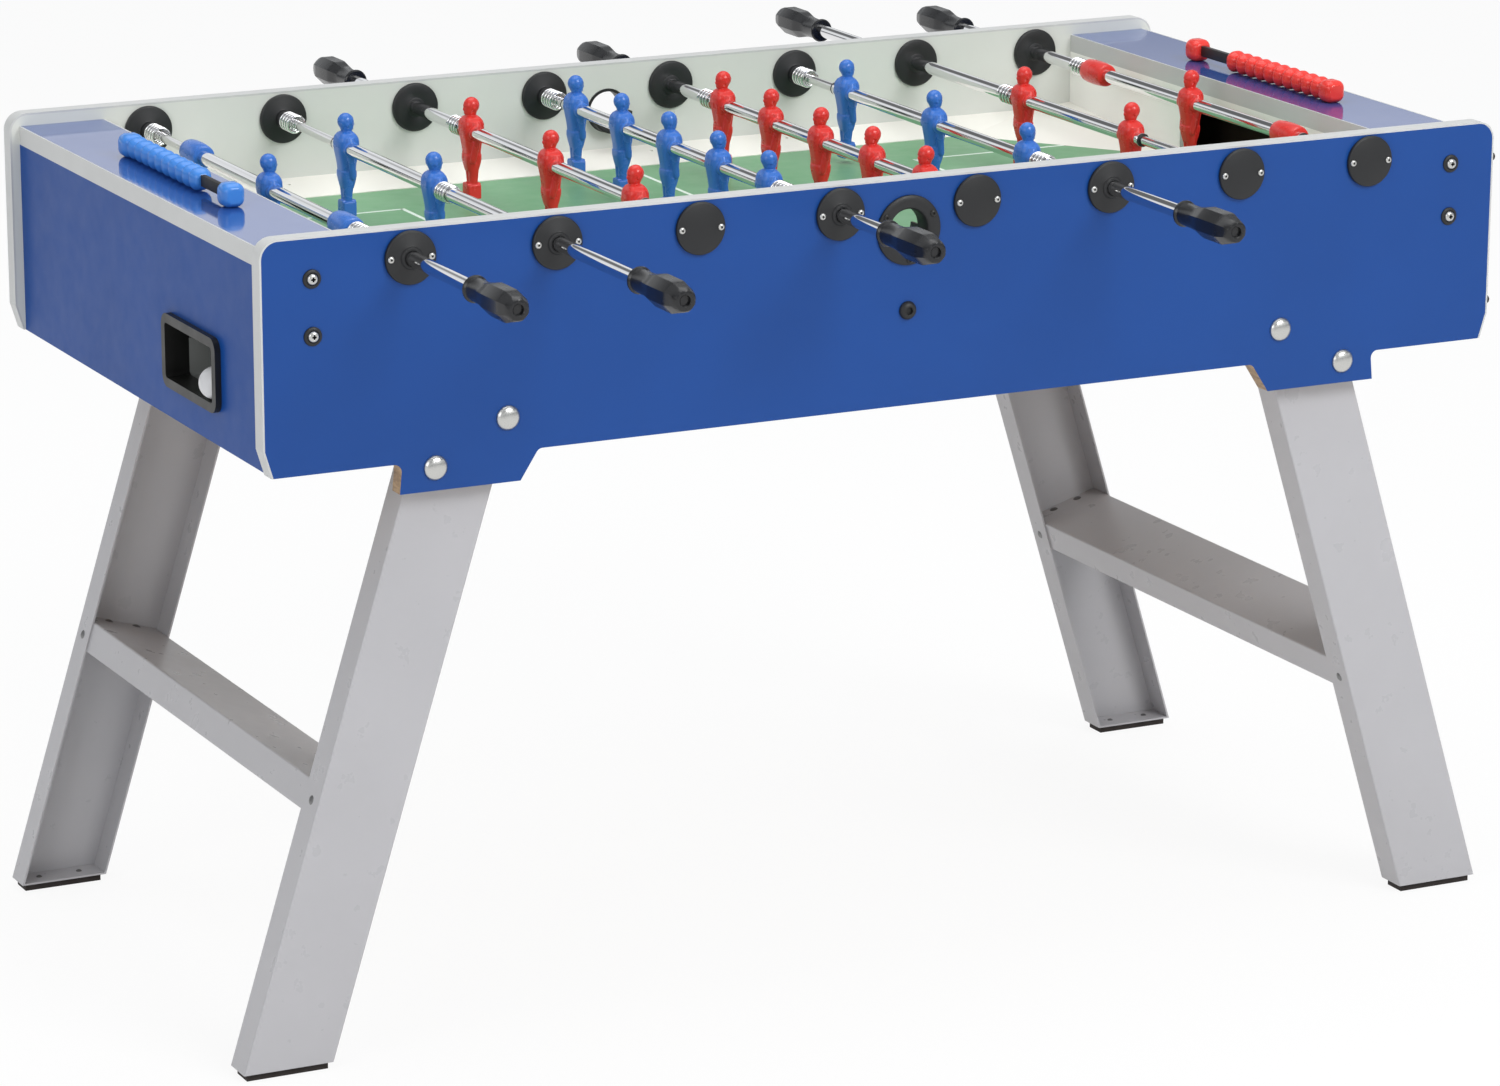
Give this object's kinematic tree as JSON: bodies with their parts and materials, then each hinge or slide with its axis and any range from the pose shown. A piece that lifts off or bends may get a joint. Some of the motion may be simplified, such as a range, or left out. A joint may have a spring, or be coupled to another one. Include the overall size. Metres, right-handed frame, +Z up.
{
  "type": "foosball table",
  "caption": "Foosball table on splayed folded-steel legs, with telescopic player rods, faceted grips, sliding goal counters, goals with an inner ball channel and a side ball return.",
  "frame": {"origin": "on the floor, under the middle of the playfield", "axes": "+Z up, +X along the playfield from the blue goal to the red goal, -Y towards the blue side's handles"},
  "size_m": [1.4954, 1.3754, 0.8913],
  "materials": {
    "blue_laminate": "satin laminate",
    "glossy_blue_top": "glossy laminate",
    "silver_edging": "satin",
    "white_laminate": "satin laminate",
    "raw_wood": "raw",
    "green_field": "satin laminate",
    "cream_plastic": "satin",
    "grey_plastic": "satin",
    "black_plastic": "satin",
    "zinc_screws": "bright",
    "zinc_bolts": "bright",
    "grey_paint": "powder coat",
    "black_rubber": "matt",
    "white_ball": "satin",
    "blue_plastic": "satin",
    "red_plastic": "satin",
    "steel_rod": "polished",
    "chrome_tube": "polished",
    "black_grip": "satin"
  },
  "bodies": {
    "table": {"front_panel": "blue_laminate", "back_panel": "blue_laminate", "left_end_panel": "blue_laminate", "right_end_panel": "blue_laminate", "end_top_boards": "glossy_blue_top", "edge_bands": "silver_edging", "goal_walls": "white_laminate", "wooden_blocks": "raw_wood", "cabinet_floor": "raw_wood", "playfield": "green_field", "field_ramps": "cream_plastic", "ball_channels": "grey_plastic", "ball_return_frame": "black_plastic", "rod_discs": "black_plastic", "ball_entry_rings": "black_plastic", "panel_screws": "zinc_screws", "panel_bolts": "zinc_bolts", "front_right_leg": "grey_paint", "front_left_leg": "grey_paint", "back_left_leg": "grey_paint", "back_right_leg": "grey_paint", "crossbars": "grey_paint", "foot_pads": "black_rubber", "frame_bolts": "zinc_bolts", "counter_rails": "black_plastic"},
    "ball": {"ball": "white_ball"},
    "left_counter": {"left_counter_beads": "blue_plastic"},
    "right_counter": {"right_counter_beads": "red_plastic"},
    "blue_goalie_core": {"blue_goalie_inner_rod": "steel_rod"},
    "blue_goalie_rod": {"blue_goalie_tube": "chrome_tube", "blue_goalie_players": "blue_plastic", "blue_goalie_handle": "black_grip"},
    "blue_two_core": {"blue_two_inner_rod": "steel_rod"},
    "blue_two_rod": {"blue_two_tube": "chrome_tube", "blue_two_players": "blue_plastic", "blue_two_handle": "black_grip"},
    "blue_five_core": {"blue_five_inner_rod": "steel_rod"},
    "blue_five_rod": {"blue_five_tube": "chrome_tube", "blue_five_players": "blue_plastic", "blue_five_handle": "black_grip"},
    "blue_three_core": {"blue_three_inner_rod": "steel_rod"},
    "blue_three_rod": {"blue_three_tube": "chrome_tube", "blue_three_players": "blue_plastic", "blue_three_handle": "black_grip"},
    "red_goalie_core": {"red_goalie_inner_rod": "steel_rod"},
    "red_goalie_rod": {"red_goalie_tube": "chrome_tube", "red_goalie_players": "red_plastic", "red_goalie_handle": "black_grip"},
    "red_two_core": {"red_two_inner_rod": "steel_rod"},
    "red_two_rod": {"red_two_tube": "chrome_tube", "red_two_players": "red_plastic", "red_two_handle": "black_grip"},
    "red_five_core": {"red_five_inner_rod": "steel_rod"},
    "red_five_rod": {"red_five_tube": "chrome_tube", "red_five_players": "red_plastic", "red_five_handle": "black_grip"},
    "red_three_core": {"red_three_inner_rod": "steel_rod"},
    "red_three_rod": {"red_three_tube": "chrome_tube", "red_three_players": "red_plastic", "red_three_handle": "black_grip"}
  },
  "joints": [
    {"name": "blue_goalie_spin", "type": "hinge", "parent": "table", "child": "blue_goalie_core", "pos_m": [-0.56, 0, 0.8495], "axis": [0, 1, 0], "range_deg": [-236, 58]},
    {"name": "blue_goalie_slide", "type": "slide", "parent": "blue_goalie_core", "child": "blue_goalie_rod", "axis": [0, 1, 0], "range_m": [-0.0852, 0.0832]},
    {"name": "blue_two_spin", "type": "hinge", "parent": "table", "child": "blue_two_core", "pos_m": [-0.4, 0, 0.8495], "axis": [0, 1, 0], "continuous": true},
    {"name": "blue_two_slide", "type": "slide", "parent": "blue_two_core", "child": "blue_two_rod", "axis": [0, 1, 0], "range_m": [-0.2335, 0.1229]},
    {"name": "blue_five_spin", "type": "hinge", "parent": "table", "child": "blue_five_core", "pos_m": [-0.08, 0, 0.8495], "axis": [0, 1, 0], "continuous": true},
    {"name": "blue_five_slide", "type": "slide", "parent": "blue_five_core", "child": "blue_five_rod", "axis": [0, 1, 0], "range_m": [-0.0871, 0.0263]},
    {"name": "blue_three_spin", "type": "hinge", "parent": "table", "child": "blue_three_core", "pos_m": [0.24, 0, 0.8495], "axis": [0, 1, 0], "continuous": true},
    {"name": "blue_three_slide", "type": "slide", "parent": "blue_three_core", "child": "blue_three_rod", "axis": [0, 1, 0], "range_m": [-0.1039, 0.0715]},
    {"name": "red_goalie_spin", "type": "hinge", "parent": "table", "child": "red_goalie_core", "pos_m": [0.56, 0, 0.8495], "axis": [0, -1, 0], "range_deg": [-236, 58]},
    {"name": "red_goalie_slide", "type": "slide", "parent": "red_goalie_core", "child": "red_goalie_rod", "axis": [0, -1, 0], "range_m": [-0.0932, 0.0752]},
    {"name": "red_two_spin", "type": "hinge", "parent": "table", "child": "red_two_core", "pos_m": [0.4, 0, 0.8495], "axis": [0, -1, 0], "continuous": true},
    {"name": "red_two_slide", "type": "slide", "parent": "red_two_core", "child": "red_two_rod", "axis": [0, -1, 0], "range_m": [-0.2075, 0.1489]},
    {"name": "red_five_spin", "type": "hinge", "parent": "table", "child": "red_five_core", "pos_m": [0.08, 0, 0.8495], "axis": [0, -1, 0], "continuous": true},
    {"name": "red_five_slide", "type": "slide", "parent": "red_five_core", "child": "red_five_rod", "axis": [0, -1, 0], "range_m": [-0.0839, 0.0295]},
    {"name": "red_three_spin", "type": "hinge", "parent": "table", "child": "red_three_core", "pos_m": [-0.24, 0, 0.8495], "axis": [0, -1, 0], "continuous": true},
    {"name": "red_three_slide", "type": "slide", "parent": "red_three_core", "child": "red_three_rod", "axis": [0, -1, 0], "range_m": [-0.1049, 0.0705]},
    {"name": "ball_out", "type": "slide", "parent": "table", "child": "ball", "axis": [-1, 0, 0], "range_m": [0, 0.05]},
    {"name": "left_counter_slide", "type": "slide", "parent": "table", "child": "left_counter", "axis": [0, -1, 0], "range_m": [0, 0.0634]},
    {"name": "right_counter_slide", "type": "slide", "parent": "table", "child": "right_counter", "axis": [0, 1, 0], "range_m": [0, 0.0634]}
  ]
}
